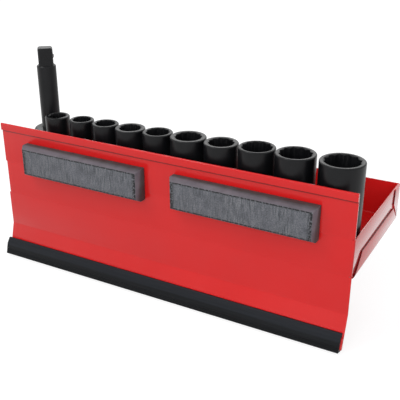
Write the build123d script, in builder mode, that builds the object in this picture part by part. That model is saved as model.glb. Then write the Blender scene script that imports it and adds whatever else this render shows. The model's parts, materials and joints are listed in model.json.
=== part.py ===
"""Magnetic side tray for a tool cabinet, with a row of deep sockets and an extension bar.

A back plate hangs on a steel wall by two block magnets. Its lower edge is bent
towards the wall and wears a rubber strip. Its ends are bent forwards as side walls,
and a pan with a floor and a front wall is lapped over them with folded tabs. A rail
with round posts stands on the floor and carries the sockets by their drive holes.

Frame: origin at the middle of the plane through the two magnets' faces.
+Y points at the wall, +Z up, and X runs along the plate.
"""

import os
from math import atan, cos, degrees, pi, radians, sin

from build123d import *

# --- sheet metal -----------------------------------------------------------------
sheet = 1.0                 # thickness of the steel sheet
bend_inside = 0.8           # inside radius of the bends
hem_gap = 0.4               # gap inside a folded hem
plate_length = 320.0
plate_top = 27.5            # top fold, above the magnets' centre line
plate_bend = -68.6          # lower bend, below the magnets' centre line
top_hem = 6.1               # height of the folded top edge
band_angle = 16.0           # slope of the lower band towards the wall
band_length = 26.2
band_hem = 8.5              # height of the fold at the band's lower edge
wall_top = -8.2             # upper edge of the tray's walls
wall_height = 31.5
tray_depth = 117.5          # from the plate's rear face to the front wall
relief_width = 0.4          # slots that end the side walls' bends
relief_depth = 2.0
wing_clearance = 0.4        # between the side walls' edges and the pan
rear_flange = 12.0          # height of the pan's flange on the plate
flange_inset = 10.0         # the flange stops short of the side walls
side_tab = 15.0             # height of the tabs along the floor
side_tab_rear_run = 18.7    # length of their sloping rear end
side_tab_rear_toe = 8.1     # the slope is broken here
side_tab_toe_height = 3.7
corner_tab = 15.0           # length of the tabs round the front corners
corner_tab_straight = 13.2  # part of their rear edge that stands upright
tab_gap = 0.8               # between neighbouring tabs

# --- magnets ---------------------------------------------------------------------
magnet_length = 119.6
magnet_height = 27.2
magnet_thickness = 10.0
magnet_pitch = 146.6        # between the two magnets' centres
magnet_shift = -1.0         # the pair sits off the plate's middle
magnet_bevel = 2.3          # bevel, measured across the face
magnet_bevel_depth = 4.0    # bevel, measured through the thickness
pad_thickness = 0.5         # adhesive between magnet and plate
pad_inset = 1.0

# --- rubber edge strip -----------------------------------------------------------
trim_length = 320.2
trim_shift = 1.5            # the strip sits off the plate's middle
trim_height = 15.0          # rear leg
trim_front_height = 9.5     # front leg
trim_wall = 2.4             # rear leg, over the fold
trim_front_wall = 1.6
trim_base = 1.6             # under the fold
trim_lip = 1.9              # upper edge of the rear leg
trim_slope = 5.2            # height of the slope above the rear leg's face
trim_fit = 0.1              # clearance to the sheet
rib_places = (1.1, 2.2, 3.3, 4.4)  # fine grooves, above the strip's lower edge
rib_size = 0.5

# --- rail and posts --------------------------------------------------------------
rail_thickness = 1.5
rail_rear = 8.0             # from the plate's rear face to the rail
rail_width = 40.0
rail_left_inset = 7.0       # from the plate's ends
rail_right_inset = 2.5
rail_corner = 4.0
post_diameter = 12.0
post_height = 12.0
post_chamfer = 1.2
spigot_diameter = 5.0       # riveted end of a post, through the rail
spigot_fit = 0.05
rivet_left_inset = 54.0     # outer rivets, from the plate's ends
rivet_right_inset = 20.0
rivet_share = 0.2875        # place of the inner rivets, per half of the plate
rivet_inset = 5.0           # from the rail's front edge
rivet_diameter = 4.0
rivet_head = 8.0
rivet_tail = 6.4            # the end that is set under the floor
rivet_head_height = 1.3
rivet_round = 0.9
rivet_fit = 0.05

# --- sockets ---------------------------------------------------------------------
# Width across flats, outside diameter, length, and the free space to the next socket.
sockets = (
    (13, 20.8, 73.0, 5.4),
    (14, 20.6, 73.6, 3.0),
    (15, 22.1, 74.0, 1.2),
    (16, 24.8, 74.0, 1.8),
    (17, 24.3, 74.8, 1.5),
    (19, 28.7, 75.6, 0.9),
    (18, 27.0, 75.7, 2.1),
    (21, 28.4, 77.3, 1.2),
    (22, 30.5, 77.9, 3.1),
    (24, 33.2, 78.4, 0.0),
)
first_socket_inset = 47.0   # from the plate's end to the first one's axis
socket_row = 19.2           # from the plate's rear face to the sockets' axes
drive_end = 24.0            # no drive end is wider than this
drive_end_height = 23.3
smallest_step = 2.0         # sockets only this much wider than the drive end run straight
shoulder_round = 2.0        # rounded step above the drive end
rim_round = 1.2             # outer edge of the mouth
foot_chamfer = 1.0          # outer edge of the drive end
mouth_cone = 0.3            # the mouth's cone reaches this far past the points
cone_slope = 0.5            # depth of the cone, per width of its ring
points_share = 0.975        # the twelve points are trimmed to this part of their circle
broach_share = 0.85         # depth of the twelve points, per width across flats
clear_bore_floor = 4.5      # the wide bore stops this far above the drive hole or step
drive_square = 12.7         # half-inch drive
drive_fit = 0.2
drive_depth = 17.0
drive_corners = 17.4        # the square's corners lie on this circle
stud_bore = 12.2            # bore between the drive hole and the wide bore
groove_place = 6.5          # ring groove, above the drive end's face
groove_width = 3.0
groove_depth = 0.7
pin_hole = 3.6              # cross hole in the groove

# --- extension bar ---------------------------------------------------------------
bar_inset = 24.9            # from the plate's end to its axis
bar_row = 36.0              # from the plate's rear face
bar_turn = 41.0             # its square is turned about the post
bar_length = 126.0
collar_diameter = 30.5
collar_height = 54.9
collar_round = 2.0
shaft_diameter = 16.5
shaft_chamfer = 0.8
tang_length = 15.1          # male square
tang_corners = 15.8         # its corners lie on this circle
tang_chamfer = 1.2
ball_diameter = 5.0
ball_height = 7.5           # below the tang's end
ball_proud = 1.1            # the ball stands out of the square's face
ball_fit = 0.25
staked_lip = 0.5            # depth of the narrowed mouth that holds the ball
staked_fit = 0.13
spring_room = 6.0           # behind the ball
spring_wire = 0.6
spring_turns = 4

# --- places worked out from the sizes ---------------------------------------------
magnet_stand = magnet_thickness + pad_thickness
plate_half = plate_length / 2
plate_rear = -magnet_stand
plate_front = plate_rear - sheet
bend_outside = bend_inside + sheet
pan_half = plate_half + sheet
front_face = plate_rear - tray_depth
wall_bottom = wall_top - wall_height
floor_top = wall_bottom + sheet
wing_bottom = wall_bottom + bend_outside + wing_clearance
rail_top = floor_top + rail_thickness
rail_front = plate_rear - rail_rear - rail_width
socket_y = plate_rear - socket_row
bar_y = plate_rear - bar_row
drive_hole = drive_square + drive_fit
rivet_places = (
    rivet_right_inset - plate_half,
    -rivet_share * plate_half,
    rivet_share * plate_half,
    plate_half - rivet_left_inset,
)


def finish(piece, name):
    """Name a finished piece and write it."""
    piece.part.label = name
    export_step(piece.part, f"parts/{name}.step")


# --- back plate: one bent sheet with two hems and two side walls -------------------
fold_end = plate_top - sheet - hem_gap / 2
with BuildPart() as side_wall:
    with BuildSketch(Plane.XY.offset(wing_bottom)):
        with BuildLine():
            corner = JernArc((plate_half - bend_outside, plate_rear), (1, 0), bend_outside, -90)
            Line(corner @ 1, (plate_half, front_face + bend_outside))
            offset(amount=sheet, side=Side.RIGHT, closed=True)
        make_face()
    extrude(amount=wall_top - wing_bottom)

with BuildPart() as back_plate:
    with BuildSketch(Plane.YZ):
        with BuildLine():
            flange = Line((plate_rear + hem_gap, plate_top - top_hem), (plate_rear + hem_gap, fold_end))
            fold = JernArc(flange @ 1, (0, 1), hem_gap / 2, 180)
            face = Line(fold @ 1, (plate_rear, plate_bend))
            bend = JernArc(face @ 1, (0, -1), bend_inside, band_angle)
            band = PolarLine(bend @ 1, band_length, direction=bend % 1)
            lower_fold = JernArc(band @ 1, band % 1, hem_gap / 2, 180)
            PolarLine(lower_fold @ 1, band_hem, direction=lower_fold % 1)
            offset(amount=sheet, side=Side.LEFT, closed=True)
        make_face()
    extrude(amount=plate_half, both=True)
    # Room for the side walls' bends, with a relief slot above and below each wall.
    with BuildSketch(Plane.XZ.offset(magnet_stand / 2)):
        with GridLocations(2 * plate_half, 0, 2, 1):
            with Locations((0, (wall_top + wing_bottom) / 2)):
                Rectangle(2 * bend_outside, wall_top - wing_bottom)
            with GridLocations(0, wall_top - wing_bottom + relief_width, 1, 2):
                with Locations((0, (wall_top + wing_bottom) / 2)):
                    Rectangle(2 * relief_depth, relief_width)
    extrude(amount=magnet_stand, mode=Mode.SUBTRACT)
    add(side_wall.part)
    mirror(side_wall.part, about=Plane.YZ)
finish(back_plate, "back_plate")

# The band's own plane: X runs down its rear face, Y stands off it towards the wall.
band_plane = Plane(
    origin=(0, (bend @ 1).X, (bend @ 1).Y),
    x_dir=(0, sin(radians(band_angle)), -cos(radians(band_angle))),
    z_dir=(1, 0, 0),
)

# --- tray pan: floor, front wall and rear flange, with tabs lapped over the side walls
tab_top = wall_bottom + side_tab
with BuildPart() as floor_tab:
    with BuildSketch(Plane.XZ.offset(magnet_stand)):
        with BuildLine():
            corner = JernArc((pan_half - bend_outside, wall_bottom), (1, 0), bend_outside, 90)
            Line(corner @ 1, (pan_half, tab_top))
            offset(amount=sheet, side=Side.LEFT, closed=True)
        make_face()
    extrude(amount=tray_depth)
    # The side view of the tab, with sloping ends.
    with BuildSketch(Plane.YZ.offset(pan_half - 2 * bend_outside)):
        front_toe = front_face + bend_outside + tab_gap
        with BuildLine():
            Polyline(
                (plate_front - sheet, wall_bottom),
                (plate_rear - side_tab_rear_toe, wall_bottom + side_tab_toe_height),
                (plate_rear - side_tab_rear_run, tab_top),
                (front_face + corner_tab + tab_gap, tab_top),
                (front_toe, wall_bottom + bend_outside),
                (front_toe, wall_bottom),
                close=True,
            )
        make_face()
    extrude(amount=3 * bend_outside, mode=Mode.INTERSECT)

with BuildPart() as front_tab:
    with BuildSketch(Plane.XY.offset(wing_bottom)):
        with BuildLine():
            corner = JernArc((pan_half - bend_outside, front_face), (1, 0), bend_outside, 90)
            Line(corner @ 1, (pan_half, front_face + corner_tab))
            offset(amount=sheet, side=Side.LEFT, closed=True)
        make_face()
    extrude(amount=wall_top - wing_bottom)
    with BuildSketch(Plane.YZ.offset(pan_half - 2 * bend_outside)):
        with BuildLine():
            Polyline(
                (front_face, wall_top),
                (front_face + corner_tab, wall_top),
                (front_face + corner_tab, wall_top - corner_tab_straight),
                (front_face + bend_outside, wing_bottom),
                (front_face, wing_bottom),
                close=True,
            )
        make_face()
    extrude(amount=3 * bend_outside, mode=Mode.INTERSECT)

with BuildPart() as tray_pan:
    with BuildSketch(Plane.YZ):
        with BuildLine():
            flange = Line((plate_front, wall_bottom + rear_flange), (plate_front, wall_bottom + bend_outside))
            rear_bend = JernArc(flange @ 1, (0, -1), bend_outside, -90)
            floor = Line(rear_bend @ 1, (front_face + bend_outside, wall_bottom))
            front_bend = JernArc(floor @ 1, (-1, 0), bend_outside, -90)
            Line(front_bend @ 1, (front_face, wall_top))
            offset(amount=sheet, side=Side.RIGHT, closed=True)
        make_face()
    extrude(amount=pan_half - bend_outside, both=True)
    # The rear flange stops short of the side walls.
    with BuildSketch(Plane.XY.offset(wall_bottom)):
        with GridLocations(2 * plate_half, 0, 2, 1):
            with Locations((0, plate_front - bend_outside / 2)):
                Rectangle(2 * flange_inset, bend_outside)
    extrude(amount=rear_flange, mode=Mode.SUBTRACT)
    for tab in (floor_tab, front_tab):
        add(tab.part)
        mirror(tab.part, about=Plane.YZ)
    with Locations(*[(x, rail_front + rivet_inset, floor_top) for x in rivet_places]):
        Hole(radius=rivet_diameter / 2 + rivet_fit, depth=2 * sheet)
finish(tray_pan, "tray_pan")

# --- magnets and their adhesive pads ----------------------------------------------
for side, name in ((1, "left"), (-1, "right")):
    magnet_x = magnet_shift + side * magnet_pitch / 2
    with BuildPart() as pad:
        with BuildSketch(Plane.ZX.offset(plate_rear)):
            with Locations((0, magnet_x)):
                Rectangle(magnet_height - 2 * pad_inset, magnet_length - 2 * pad_inset)
        extrude(amount=pad_thickness)
    finish(pad, f"magnet_pad_{name}")

    with BuildPart() as magnet:
        with BuildSketch(Plane.ZX.offset(plate_rear + pad_thickness)):
            with Locations((0, magnet_x)):
                Rectangle(magnet_height, magnet_length)
        extrude(amount=magnet_thickness - magnet_bevel_depth)
        with BuildSketch(Plane.ZX.offset(-magnet_bevel_depth)):
            with Locations((0, magnet_x)):
                Rectangle(magnet_height, magnet_length)
        extrude(amount=magnet_bevel_depth, taper=degrees(atan(magnet_bevel / magnet_bevel_depth)))
    finish(magnet, f"magnet_{name}")

# --- rubber strip clipped over the band's lower fold --------------------------------
fold_bottom = band_length + hem_gap / 2 + sheet
hem_face = hem_gap + sheet
trim_bottom = fold_bottom + trim_fit + trim_base
trim_outer = hem_face + trim_fit + trim_wall
trim_top = trim_bottom - trim_height
hem_top = band_length - band_hem - 3 * trim_fit
with BuildPart() as edge_trim:
    with BuildSketch(band_plane.offset(trim_shift)):
        with BuildLine():
            Polyline(
                (trim_top, trim_fit),
                (trim_top, trim_lip),
                (trim_top + trim_slope, trim_outer),
                (trim_bottom, trim_outer),
                (trim_bottom, -sheet - trim_fit - trim_front_wall),
                (trim_bottom - trim_front_height, -sheet - trim_fit - trim_front_wall),
                (trim_bottom - trim_front_height, -sheet - trim_fit),
                (fold_bottom + trim_fit, -sheet - trim_fit),
                (fold_bottom + trim_fit, hem_face + trim_fit),
                (hem_top, hem_face + trim_fit),
                (hem_top, trim_fit),
                close=True,
            )
        make_face()
        with Locations(*[(trim_bottom - height, trim_outer) for height in rib_places]):
            Rectangle(rib_size, rib_size, rotation=45, mode=Mode.SUBTRACT)
    extrude(amount=trim_length / 2, both=True)
finish(edge_trim, "edge_trim")

# --- rail, posts and rivets ---------------------------------------------------------
post_places = []
row_end = plate_half - first_socket_inset + sockets[0][1] / 2
for size, diameter, length, gap in sockets:
    post_places.append((row_end - diameter / 2, socket_y, rail_top))
    row_end -= diameter + gap
bar_post = (plate_half - bar_inset, bar_y, rail_top)
rail_left = plate_half - rail_left_inset
rail_right = plate_half - rail_right_inset

with BuildPart() as socket_rail:
    with BuildSketch(Plane.XY.offset(floor_top)):
        with Locations(((rail_left - rail_right) / 2, rail_front + rail_width / 2)):
            RectangleRounded(rail_left + rail_right, rail_width, rail_corner)
    extrude(amount=rail_thickness)
    with Locations(*post_places, bar_post):
        Hole(radius=spigot_diameter / 2 + spigot_fit)
    with Locations(*[(x, rail_front + rivet_inset, rail_top) for x in rivet_places]):
        Hole(radius=rivet_diameter / 2 + rivet_fit)
finish(socket_rail, "socket_rail")


def make_posts(places):
    """Round posts, each with a riveted spigot that fills its hole in the rail."""
    with BuildPart() as posts:
        for place in places:
            with BuildSketch(Plane.XY.offset(rail_top)):
                with Locations(place[:2]):
                    Circle(post_diameter / 2)
            extrude(amount=post_height)
            with BuildSketch(Plane.XY.offset(floor_top)):
                with Locations(place[:2]):
                    Circle(spigot_diameter / 2)
            extrude(amount=rail_thickness)
        chamfer(posts.edges().group_by(Axis.Z)[-1], post_chamfer)
    return posts


finish(make_posts(post_places), "socket_posts")
finish(make_posts([bar_post]), "bar_post")

centred = (Align.CENTER, Align.CENTER)
with BuildPart() as rail_rivets:
    for x in rivet_places:
        with Locations((x, rail_front + rivet_inset, rail_top)):
            Cylinder(rivet_diameter / 2, rail_thickness + sheet, align=(*centred, Align.MAX))
            Cylinder(rivet_head / 2, rivet_head_height, align=(*centred, Align.MIN))
        with Locations((x, rail_front + rivet_inset, wall_bottom)):
            Cylinder(rivet_tail / 2, rivet_head_height, align=(*centred, Align.MAX))
    rivet_edges = rail_rivets.edges().group_by(Axis.Z)
    fillet(rivet_edges[0] + rivet_edges[-1], rivet_round)
finish(rail_rivets, "rail_rivets")


def drive_outline(across_flats, corner_circle):
    """A square with its corners turned off to a circle."""
    Rectangle(across_flats, across_flats)
    Circle(corner_circle / 2, mode=Mode.INTERSECT)


# --- sockets -----------------------------------------------------------------------
for (size, diameter, length, gap), place in zip(sockets, post_places):
    has_step = diameter > drive_end + smallest_step
    foot_diameter = drive_end if has_step else diameter
    bore_floor = (drive_end_height if has_step else drive_depth) + clear_bore_floor
    broach_floor = length - broach_share * size
    point_radius = size / 2 / cos(pi / 6)
    mouth_radius = point_radius + mouth_cone
    base = Plane(origin=place)
    with BuildPart() as socket:
        with BuildSketch(base):
            Circle(foot_diameter / 2)
        extrude(amount=length)
        if has_step:
            with BuildSketch(base.offset(drive_end_height)):
                Circle(diameter / 2)
            extrude(amount=length - drive_end_height)
            step_edges = socket.edges().filter_by(GeomType.CIRCLE).group_by(Axis.Z)[1]
            step_width = (diameter - drive_end) / 2
            fillet(step_edges.sort_by(SortBy.RADIUS)[-1], min(shoulder_round, 0.8 * step_width))
        outer_edges = socket.edges().filter_by(GeomType.CIRCLE).group_by(Axis.Z)
        fillet(outer_edges[-1], rim_round)
        chamfer(outer_edges[0], foot_chamfer)
        # Twelve-point mouth: two hexagons, with a cone that leads the nut in.
        with BuildSketch(base.offset(length)):
            RegularPolygon(size / 2, 6, major_radius=False)
            RegularPolygon(size / 2, 6, major_radius=False, rotation=30)
            Circle(points_share * point_radius, mode=Mode.INTERSECT)
        extrude(amount=broach_floor - length, mode=Mode.SUBTRACT)
        with Locations(base.offset(length)):
            Cone(
                size / 2, mouth_radius, cone_slope * (mouth_radius - size / 2),
                align=(Align.CENTER, Align.CENTER, Align.MAX), mode=Mode.SUBTRACT,
            )
        with BuildSketch(base.offset(bore_floor)):
            Circle(size / 2)
        extrude(amount=broach_floor - bore_floor, mode=Mode.SUBTRACT)
        # Drive end: stud bore, square hole, ring groove and cross hole.
        with BuildSketch(base):
            Circle(stud_bore / 2)
        extrude(amount=bore_floor, mode=Mode.SUBTRACT)
        with BuildSketch(base):
            drive_outline(drive_hole, drive_corners)
        extrude(amount=drive_depth, mode=Mode.SUBTRACT)
        with BuildSketch(base.offset(groove_place)):
            Circle(foot_diameter / 2)
            Circle(foot_diameter / 2 - groove_depth, mode=Mode.SUBTRACT)
        extrude(amount=groove_width, mode=Mode.SUBTRACT)
        with Locations(Plane(base.offset(groove_place + groove_width / 2).origin, z_dir=(0, 1, 0))):
            Cylinder(pin_hole / 2, diameter, mode=Mode.SUBTRACT)
    finish(socket, f"socket_{size}")

# --- extension bar with its ball and spring -------------------------------------------
bar_base = Plane(origin=bar_post).rotated((0, 0, bar_turn))
tang_foot = bar_length - tang_length
ball_depth = drive_square / 2 + ball_proud - ball_diameter / 2
ball_level = bar_length - ball_height
ball_back = ball_depth - ball_diameter / 2
# The ball's own plane: it looks out of the square's face along -X of the bar.
ball_axis = Plane(
    origin=bar_base.from_local_coords((0, 0, ball_level)),
    x_dir=(0, 0, 1),
    z_dir=bar_base.x_dir * -1,
)
with BuildPart() as extension_bar:
    with BuildSketch(bar_base):
        Circle(collar_diameter / 2)
    extrude(amount=collar_height)
    collar_edges = extension_bar.edges().filter_by(GeomType.CIRCLE).group_by(Axis.Z)
    fillet(collar_edges[-1], collar_round)
    chamfer(collar_edges[0], foot_chamfer)
    with BuildSketch(bar_base.offset(collar_height)):
        Circle(shaft_diameter / 2)
    extrude(amount=tang_foot - collar_height)
    chamfer(extension_bar.edges().group_by(Axis.Z)[-1], shaft_chamfer)
    with BuildSketch(bar_base.offset(tang_foot)):
        drive_outline(drive_square, tang_corners)
    extrude(amount=tang_length)
    chamfer(extension_bar.edges().group_by(Axis.Z)[-1], tang_chamfer)
    with BuildSketch(bar_base):
        drive_outline(drive_hole, drive_corners)
    extrude(amount=drive_depth, mode=Mode.SUBTRACT)
    # Pocket for the spring and the ball, narrowed at its mouth to keep the ball in.
    with BuildSketch(ball_axis.offset(ball_back - spring_room)):
        Circle(ball_diameter / 2 + ball_fit)
    extrude(amount=spring_room + drive_square / 2 - ball_back - staked_lip, mode=Mode.SUBTRACT)
    lip_radius = (ball_diameter**2 / 4 - (drive_square / 2 - ball_depth) ** 2) ** 0.5 + staked_fit
    with Locations(ball_axis.offset(drive_square / 2 - staked_lip)):
        Cone(
            ball_diameter / 2 + ball_fit, lip_radius, staked_lip,
            align=(Align.CENTER, Align.CENTER, Align.MIN), mode=Mode.SUBTRACT,
        )
finish(extension_bar, "extension_bar")

with BuildPart() as detent_ball:
    with Locations(ball_axis.offset(ball_depth)):
        Sphere(ball_diameter / 2)
finish(detent_ball, "detent_ball")

spring_radius = ball_diameter / 2 - spring_wire
spring_start = ball_axis.offset(ball_back - spring_room + spring_wire / 2)
spring_height = spring_room - spring_wire
coil = spring_start * Helix(spring_height / spring_turns, spring_height, spring_radius)
with BuildPart() as detent_spring:
    with BuildSketch(Plane(origin=coil @ 0, z_dir=coil % 0)):
        Circle(spring_wire / 2)
    sweep(path=coil, is_frenet=True)
finish(detent_spring, "detent_spring")
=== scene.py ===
"""Looks of the magnetic socket tray: paint, ferrite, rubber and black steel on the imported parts."""

import json
import math

import bmesh
import bpy
from mathutils import Matrix, Vector

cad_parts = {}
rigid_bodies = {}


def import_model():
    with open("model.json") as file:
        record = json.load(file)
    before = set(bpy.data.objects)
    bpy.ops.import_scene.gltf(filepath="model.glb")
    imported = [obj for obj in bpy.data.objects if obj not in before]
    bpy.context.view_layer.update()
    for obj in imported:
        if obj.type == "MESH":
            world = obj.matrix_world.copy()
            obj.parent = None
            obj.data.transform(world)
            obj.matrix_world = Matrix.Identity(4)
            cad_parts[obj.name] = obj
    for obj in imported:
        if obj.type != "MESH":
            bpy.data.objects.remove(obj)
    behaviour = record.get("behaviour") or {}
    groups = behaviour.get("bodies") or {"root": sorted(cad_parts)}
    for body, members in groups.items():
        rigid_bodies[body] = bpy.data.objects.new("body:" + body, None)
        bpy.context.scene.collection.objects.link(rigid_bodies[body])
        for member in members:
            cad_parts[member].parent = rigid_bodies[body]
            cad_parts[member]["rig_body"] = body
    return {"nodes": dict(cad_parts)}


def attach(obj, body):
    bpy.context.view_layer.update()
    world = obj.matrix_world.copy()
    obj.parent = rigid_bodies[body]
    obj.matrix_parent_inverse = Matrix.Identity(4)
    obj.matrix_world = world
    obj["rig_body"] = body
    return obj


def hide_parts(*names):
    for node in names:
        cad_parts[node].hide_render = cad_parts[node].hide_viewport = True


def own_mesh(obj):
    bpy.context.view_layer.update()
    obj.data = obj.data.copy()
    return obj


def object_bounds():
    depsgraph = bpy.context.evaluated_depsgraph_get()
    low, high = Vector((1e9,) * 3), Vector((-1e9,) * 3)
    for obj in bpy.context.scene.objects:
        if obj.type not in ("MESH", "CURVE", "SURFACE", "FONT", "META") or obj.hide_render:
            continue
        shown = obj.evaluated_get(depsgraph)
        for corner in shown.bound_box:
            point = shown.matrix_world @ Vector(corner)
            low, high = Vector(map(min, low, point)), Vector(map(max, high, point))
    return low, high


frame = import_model()
cad_low, cad_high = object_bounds()

MM = 0.001

# Places on the part that the finishes follow.
PLATE_REAR = -10.5 * MM             # the back plate's rear face, along Y
WALL_OUTSIDE = 160.06 * MM          # just beyond the side walls' outer faces
TAB_TOP = -9.0 * MM                 # the lapped tabs lie below this height
# The band under the top fold is painted shade.
HEM_SHADE_BAND = (19.8 * MM, 20.3 * MM, 21.35 * MM, 21.39 * MM)   # dark band under the top fold
MAGNET_SHIFT = -1.0 * MM            # middle between the two magnets
MAGNET_HALF_PITCH = 73.3 * MM
CHIPS_ABOVE = (9.7 * MM, 10.4 * MM)     # the chipped line along the ground face's long sides
CHIPS_BEYOND = (53.5 * MM, 56.0 * MM)   # and along its short sides
SLOPE_FOOT = (87.4 * MM, 88.4 * MM)     # depth at which the strip's upper slope ends

# Radius of the rounded edges, by material slot.
ROUNDING = {
    "red_paint": 0.15 * MM,
    "ferrite": 0.25 * MM,
    "rubber": 0.25 * MM,
    "black_steel": 0.12 * MM,
}
ROUNDED_ANGLE = math.radians(35)    # sharper edges than this are rounded
FLAT_ANGLE = math.radians(0.3)      # facets that meet flatter than this are one face
MERGE_DISTANCE = 0.001 * MM
ROUNDING_STEPS = 3

# The floor and the lamps.
FLOOR_HALF = 3.0
FLOOR_GAP = 0.3 * MM
LIT_MIDDLE = (0.0, -0.04, -0.01)
# Name, place, size in metres, watts, and whether reflections show the lamp.
LAMPS = (
    ("key_light", (0.6, 0.7, 1.15), (0.6, 0.6), 5.5, True),
    ("front_light", (-0.3, 1.3, 0.5), (1.0, 1.0), 11.5, False),
    ("side_light", (-1.2, 0.2, 0.5), (0.8, 0.8), 2.5, False),
    ("back_light", (0.5, -1.1, 0.8), (1.2, 0.6), 5.0, True),
)

# The photograph's camera, in the part's frame.
CAMERA_PLACE = (-0.27833, 0.42241, 0.21838)
CAMERA_AZIMUTH, CAMERA_ELEVATION, CAMERA_ROLL = 209.0938, 24.145, -0.1059
CAMERA_LENS, CAMERA_SENSOR = 63.914, 36.0


# --- materials ---------------------------------------------------------------------
class Paint:
    """A Principled material with a few shorthands for procedural nodes."""

    def __init__(self, name, roughness, **fixed):
        self.material = bpy.data.materials.new(name)
        self.material.use_nodes = True
        self.tree = self.material.node_tree
        self.shader = self.tree.nodes["Principled BSDF"]
        self.shader.inputs["Roughness"].default_value = roughness
        for socket, value in fixed.items():
            self.shader.inputs[socket.replace("_", " ")].default_value = value
        coordinates = self.node("ShaderNodeTexCoord")
        self.place = coordinates.outputs["Object"]
        self.normals = coordinates.outputs["Normal"]

    def node(self, kind, **settings):
        """A node of this kind; capitalised settings are its inputs, the others its properties."""
        made = self.tree.nodes.new(kind)
        for key, value in settings.items():
            if key[0].isupper():
                made.inputs[key.replace("_", " ")].default_value = value
            else:
                setattr(made, key, value)
        return made

    def link(self, source, target):
        self.tree.links.new(source, target)

    def scaled(self, x, y, z):
        """The place, stretched by one factor for each axis."""
        made = self.node("ShaderNodeMapping", Scale=(x, y, z))
        self.link(self.place, made.inputs["Vector"])
        return made.outputs["Vector"]

    def noise(self, scale, detail=3.0, rough=0.55, vector=None):
        made = self.node("ShaderNodeTexNoise", Scale=scale, Detail=detail, Roughness=rough)
        self.link(vector or self.place, made.inputs["Vector"])
        return made.outputs["Fac"]

    def ramp(self, value, *stops):
        """Colour or number by value; stops are (position, colour or grey)."""
        made = self.node("ShaderNodeValToRGB")
        self.link(value, made.inputs["Fac"])
        steps = made.color_ramp.elements
        while len(steps) < len(stops):
            steps.new(0.5)
        for step, (position, colour) in zip(steps, stops):
            step.position = position
            if not isinstance(colour, tuple):
                colour = (colour, colour, colour)
            step.color = (*colour, 1.0)
        return made.outputs["Color"]

    def reach(self, distance, longest, *stops):
        """A ramp whose stops are distances in metres, none over the longest."""
        shares = ((place / longest, level) for place, level in stops)
        return self.ramp(self.math("MULTIPLY", distance, 1.0 / longest), *shares)

    def mix(self, factor, first, second, blend="MIX"):
        made = self.node("ShaderNodeMix", data_type="RGBA", blend_type=blend)
        for value, index in ((factor, 0), (first, 6), (second, 7)):
            if isinstance(value, bpy.types.NodeSocket):
                self.link(value, made.inputs[index])
            elif index == 0:
                made.inputs[index].default_value = value
            else:
                made.inputs[index].default_value = (*value, 1.0)
        return made.outputs[2]

    def math(self, operation, first, second=0.5):
        made = self.node("ShaderNodeMath", operation=operation)
        for index, value in enumerate((first, second)):
            if isinstance(value, bpy.types.NodeSocket):
                self.link(value, made.inputs[index])
            else:
                made.inputs[index].default_value = value
        return made.outputs[0]

    def size(self, value):
        return self.math("ABSOLUTE", value)

    def bump(self, height, strength, distance, normal=None):
        made = self.node("ShaderNodeBump", Strength=strength, Distance=distance)
        self.link(height, made.inputs["Height"])
        if normal is not None:
            self.link(normal, made.inputs["Normal"])
        return made.outputs["Normal"]

    def parts(self, vector):
        """The three numbers of a vector."""
        made = self.node("ShaderNodeSeparateXYZ")
        self.link(vector, made.inputs[0])
        return made.outputs[:]

    def colour(self, source):
        self.link(source, self.shader.inputs["Base Color"])

    def roughness(self, source):
        self.link(source, self.shader.inputs["Roughness"])

    def normal(self, source):
        self.link(source, self.shader.inputs["Normal"])


def red_paint():
    """Powder coat, dark on the sheared edges of the lapped tabs, partly thin paint and partly painted
    shade in the gap, with a painted shade band in the nook under the top fold.
    """
    made = Paint("red_powder_coat", 0.2, Specular_IOR_Level=0.34, Coat_Roughness=0.12)
    cloudy = made.noise(9.0, detail=2.0)
    coat = made.ramp(cloudy, (0.3, (0.66, 0.0120, 0.0125)), (0.7, (0.72, 0.0150, 0.0150)))
    x, y, z = made.parts(made.place)
    across, back, up = made.parts(made.normals)
    # The lapped tabs' sheared top edges are coloured dark: partly thin paint on the edge, partly
    # painted shade in the gap at the wall.
    outside = made.math("GREATER_THAN", made.size(x), WALL_OUTSIDE)
    facing = made.math("GREATER_THAN", made.math("ADD", back, up), 0.8)
    lower = made.math("LESS_THAN", z, TAB_TOP)
    seam_edge_and_shade = made.math("MULTIPLY", made.math("MULTIPLY", outside, facing), lower)
    # Painted shade in the nook under the folded top edge, on the plate's rear face alone.
    nook_shade = made.reach(z, 0.1, *zip(HEM_SHADE_BAND, (0.0, 1.0, 1.0, 0.0)))
    from_face = made.size(made.math("ADD", y, -PLATE_REAR))
    level = made.math("LESS_THAN", from_face, 0.3 * MM)
    nook_shade = made.math("MULTIPLY", made.math("MULTIPLY", nook_shade, level), 0.75)
    edge_and_shade = made.math("MAXIMUM", seam_edge_and_shade, nook_shade)
    made.colour(made.mix(edge_and_shade, coat, (0.10, 0.0025, 0.003)))
    made.roughness(made.ramp(made.noise(60.0), (0.3, 0.16), (0.7, 0.23)))
    # Seen at a flat angle the coat shines, which pales the side walls.
    weight = made.node("ShaderNodeLayerWeight", Blend=0.5)
    shine = made.ramp(weight.outputs["Facing"], (0.45, 0.0), (0.75, 1.0))
    made.link(shine, made.shader.inputs["Coat Weight"])
    peel = made.noise(420.0, detail=1.0)
    made.normal(made.bump(peel, 0.012, 0.1 * MM))
    return made.material


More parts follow.
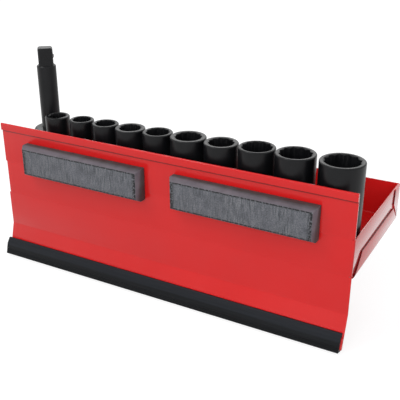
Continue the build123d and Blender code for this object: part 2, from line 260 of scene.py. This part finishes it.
def ferrite():
    """Ground faces with streaks, blotches and a chipped border, smooth bevels and dull sides."""
    made = Paint("ferrite_magnet", 0.5, Specular_IOR_Level=0.35)
    x, y, z = made.parts(made.place)
    across, back, up = made.parts(made.normals)
    facing = made.ramp(back, (0.88, 0.0), (0.97, 1.0))
    sideways = made.math("MAXIMUM", made.size(across), made.size(up))
    side = made.ramp(sideways, (0.9, 0.0), (0.97, 1.0))
    grain = made.noise(1000.0, detail=3.0, rough=0.7)
    streaks = made.noise(1.0, detail=2.0, rough=0.6, vector=made.scaled(760.0, 20.0, 90.0))
    blotches = made.noise(110.0, detail=4.0, rough=0.6)
    clouds = made.noise(34.0, detail=2.0)
    tone = made.ramp(blotches, (0.34, (0.085, 0.090, 0.103)), (0.66, (0.170, 0.174, 0.194)))
    lined = made.ramp(streaks, (0.36, (0.058, 0.064, 0.074)), (0.62, (0.185, 0.190, 0.206)))
    tone = made.mix(made.ramp(clouds, (0.40, 0.1), (0.60, 0.85)), tone, lined)
    tone = made.mix(0.75, tone, made.ramp(grain, (0.40, 0.55), (0.60, 1.25)), blend="MULTIPLY")
    # A chipped dark line just inside the border of the ground face.
    from_middle = made.size(made.math("ADD", x, -MAGNET_SHIFT))
    along = made.size(made.math("SUBTRACT", from_middle, MAGNET_HALF_PITCH))
    high = made.reach(made.size(z), 0.02, *zip(CHIPS_ABOVE, (0.0, 1.0)))
    wide = made.reach(along, 0.1, *zip(CHIPS_BEYOND, (0.0, 1.0)))
    edge = made.math("MULTIPLY", made.math("MAXIMUM", high, wide), facing)
    chips = made.ramp(made.noise(560.0, detail=2.0), (0.40, 0.05), (0.50, 1.0))
    tone = made.mix(made.math("MULTIPLY", edge, chips), tone, (0.006, 0.006, 0.007))
    smooth = made.ramp(blotches, (0.3, (0.105, 0.092, 0.108)), (0.7, (0.165, 0.146, 0.168)))
    dull = made.ramp(blotches, (0.3, (0.040, 0.046, 0.047)), (0.7, (0.075, 0.084, 0.085)))
    made.colour(made.mix(facing, made.mix(side, smooth, dull), tone))
    made.roughness(made.ramp(blotches, (0.35, 0.42), (0.7, 0.6)))
    rough = made.bump(grain, 0.3, 0.12 * MM)
    made.normal(made.bump(streaks, 0.3, 0.12 * MM, normal=rough))
    return made.material


def rubber():
    """Extruded strip, drawn lengthwise, with its upper slope painted a lighter, bluish grey as
    painted light from above.
    """
    made = Paint("black_rubber", 0.5, Specular_IOR_Level=0.16)
    fine = made.noise(1100.0, detail=3.0)
    drawn = made.noise(1.0, detail=3.0, vector=made.scaled(25.0, 700.0, 700.0))
    plain = made.ramp(drawn, (0.3, (0.0035, 0.0042, 0.0050)), (0.7, (0.0075, 0.0085, 0.0100)))
    # Painted light: the upper slope is coloured lighter, as if lit from above.
    lit_slope_tone = made.ramp(drawn, (0.3, (0.0095, 0.0110, 0.0140)), (0.7, (0.0140, 0.0160, 0.0200)))
    depth = made.math("MULTIPLY", made.parts(made.place)[2], -1.0)
    slope = made.reach(depth, 0.1, *zip(SLOPE_FOOT, (1.0, 0.0)))
    made.colour(made.mix(slope, plain, lit_slope_tone))
    made.roughness(made.ramp(fine, (0.3, 0.42), (0.7, 0.6)))
    made.normal(made.bump(drawn, 0.2, 0.2 * MM))
    return made.material


def black_steel():
    made = Paint("black_phosphate_steel", 0.35, Specular_IOR_Level=0.22)
    fine = made.noise(1500.0, detail=3.0)
    clouds = made.noise(70.0, detail=4.0)
    made.colour(made.ramp(clouds, (0.3, (0.0034, 0.0036, 0.0043)), (0.7, (0.0064, 0.0067, 0.0077))))
    made.roughness(made.ramp(clouds, (0.3, 0.27), (0.7, 0.38)))
    made.normal(made.bump(fine, 0.12, 0.06 * MM))
    return made.material


def bright_steel(name, tone, rough):
    made = Paint(name, rough, Metallic=1.0)
    fine = made.noise(1400.0, detail=3.0)
    clouds = made.noise(50.0, detail=3.0)
    made.colour(made.ramp(clouds, (0.3, tuple(0.92 * c for c in tone)), (0.7, tone)))
    made.roughness(made.ramp(fine, (0.3, rough - 0.06), (0.7, rough + 0.06)))
    made.normal(made.bump(fine, 0.08, 0.05 * MM))
    return made.material


def adhesive():
    made = Paint("adhesive_layer", 0.6)
    clouds = made.noise(400.0)
    made.colour(made.ramp(clouds, (0.3, (0.006, 0.007, 0.007)), (0.7, (0.014, 0.016, 0.015))))
    return made.material


finishes = {
    "red_paint": red_paint(),
    "ferrite": ferrite(),
    "adhesive": adhesive(),
    "rubber": rubber(),
    "rail_steel": bright_steel("zinc_plated_rail", (0.62, 0.63, 0.65), 0.32),
    "rivet_metal": bright_steel("rivet_steel", (0.6, 0.6, 0.6), 0.35),
    "black_steel": black_steel(),
    "spring_steel": bright_steel("spring_wire", (0.45, 0.45, 0.46), 0.35),
    "ball_steel": bright_steel("ball_steel", (0.3, 0.3, 0.31), 0.25),
}
slot_names = {name: node.material_slots[0].material.name for name, node in frame["nodes"].items()}
for node in frame["nodes"].values():
    for slot in node.material_slots:
        slot.material = finishes[slot.material.name]


# --- pieces in the place of CAD nodes ----------------------------------------------------
def placed(name, data):
    """A piece of this mesh on the node's body, in the node's place."""
    node = frame["nodes"][name]
    piece = bpy.data.objects.new(f"{name}_dressed", data)
    bpy.context.scene.collection.objects.link(piece)
    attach(piece, node["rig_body"])
    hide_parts(name)
    return piece


def dressed(name, radius):
    """The node's own solid with its edges rounded."""
    node = frame["nodes"][name]
    mesh = bmesh.new()
    mesh.from_mesh(node.data)
    bmesh.ops.remove_doubles(mesh, verts=mesh.verts, dist=MERGE_DISTANCE)
    bmesh.ops.dissolve_limit(mesh, angle_limit=FLAT_ANGLE, verts=mesh.verts, edges=mesh.edges)
    for face in mesh.faces:
        face.smooth = True
    data = bpy.data.meshes.new(f"{name}_dressed")
    mesh.to_mesh(data)
    mesh.free()
    data.materials.append(node.material_slots[0].material)
    rounding = placed(name, data).modifiers.new("rounding", "BEVEL")
    rounding.width = radius
    rounding.segments = ROUNDING_STEPS
    rounding.limit_method = "ANGLE"
    rounding.angle_limit = ROUNDED_ANGLE
    rounding.use_clamp_overlap = False
    rounding.harden_normals = True


def pressed_spring(name):
    """The ball's spring, as a piece with its own copy of the node's mesh."""
    spring = frame["nodes"][name].data
    piece = placed(name, spring.copy())
    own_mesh(piece)


for name in frame["nodes"]:
    if slot_names[name] in ROUNDING:
        dressed(name, ROUNDING[slot_names[name]])
pressed_spring("detent_spring")


# --- floor, light and camera ---------------------------------------------------------
def backdrop_world():
    """White where it is seen, straight on or in a reflection, and soft grey as light."""
    world = bpy.data.worlds.new("studio")
    bpy.context.scene.world = world
    world.use_nodes = True
    tree = world.node_tree
    background = tree.nodes["Background"]
    path = tree.nodes.new("ShaderNodeLightPath")
    tone = tree.nodes.new("ShaderNodeMix")
    tone.data_type = "RGBA"
    seen = tree.nodes.new("ShaderNodeMath")
    seen.operation = "MAXIMUM"
    tree.links.new(path.outputs["Is Camera Ray"], seen.inputs[0])
    tree.links.new(path.outputs["Is Glossy Ray"], seen.inputs[1])
    tree.links.new(seen.outputs[0], tone.inputs[0])
    tone.inputs[6].default_value = (0.34, 0.34, 0.35, 1.0)
    tone.inputs[7].default_value = (1.0, 1.0, 1.0, 1.0)
    tree.links.new(tone.outputs[2], background.inputs["Color"])
    background.inputs["Strength"].default_value = 1.0


def studio_floor():
    """A pale floor that keeps the shadow and looks white, straight on or in a reflection."""
    mesh = bmesh.new()
    bmesh.ops.create_grid(mesh, x_segments=8, y_segments=8, size=FLOOR_HALF)
    data = bpy.data.meshes.new("studio_floor")
    mesh.to_mesh(data)
    mesh.free()
    floor = bpy.data.objects.new("studio_floor", data)
    floor.location = (0.0, 0.0, cad_low.z - FLOOR_GAP)
    bpy.context.scene.collection.objects.link(floor)
    made = Paint("studio_floor", 0.9, Specular_IOR_Level=0.0)
    faint = made.noise(3.0)
    made.colour(made.ramp(faint, (0.3, 0.31), (0.7, 0.33)))
    made.shader.inputs["Emission Color"].default_value = (1.0, 1.0, 1.0, 1.0)
    path = made.node("ShaderNodeLightPath")
    seen = made.math("ADD", path.outputs["Is Camera Ray"], path.outputs["Is Glossy Ray"])
    # Away from the lamps the floor fades into the white backdrop.
    away = made.node("ShaderNodeVectorMath", operation="LENGTH")
    made.link(made.place, away.inputs[0])
    white = made.ramp(away.outputs["Value"], (0.25, 0.82), (1.0, 0.93))
    made.link(made.math("MULTIPLY", seen, white), made.shader.inputs["Emission Strength"])
    data.materials.append(made.material)


def softbox(name, place, size, power, glossy):
    """A rectangular lamp aimed at the part's middle and hidden from the camera."""
    lamp = bpy.data.lights.new(name, "AREA")
    lamp.shape = "RECTANGLE"
    lamp.size, lamp.size_y = size
    lamp.energy = power
    made = bpy.data.objects.new(name, lamp)
    made.location = place
    made.rotation_mode = "QUATERNION"
    made.rotation_quaternion = (Vector(LIT_MIDDLE) - Vector(place)).to_track_quat("-Z", "Y")
    made.visible_camera = False
    made.visible_glossy = glossy
    bpy.context.scene.collection.objects.link(made)


def photo_camera():
    azimuth, elevation = math.radians(CAMERA_AZIMUTH), math.radians(CAMERA_ELEVATION)
    roll = math.radians(CAMERA_ROLL)
    back = Vector((
        math.sin(azimuth) * math.cos(elevation),
        -math.cos(azimuth) * math.cos(elevation),
        math.sin(elevation),
    ))
    level_right = (-back).cross(Vector((0.0, 0.0, 1.0))).normalized()
    level_up = level_right.cross(-back)
    right = level_right * math.cos(roll) + level_up * math.sin(roll)
    up = level_up * math.cos(roll) - level_right * math.sin(roll)
    lens = bpy.data.cameras.new("photo_camera")
    lens.lens = CAMERA_LENS
    lens.sensor_width = CAMERA_SENSOR
    camera = bpy.data.objects.new("photo_camera", lens)
    turned = Matrix((right, up, back)).transposed().to_4x4()
    camera.matrix_world = Matrix.Translation(CAMERA_PLACE) @ turned
    bpy.context.scene.collection.objects.link(camera)
    bpy.context.scene.camera = camera


bpy.context.scene.view_settings.view_transform = "Standard"
backdrop_world()
studio_floor()
for lamp_facts in LAMPS:
    softbox(*lamp_facts)
photo_camera()
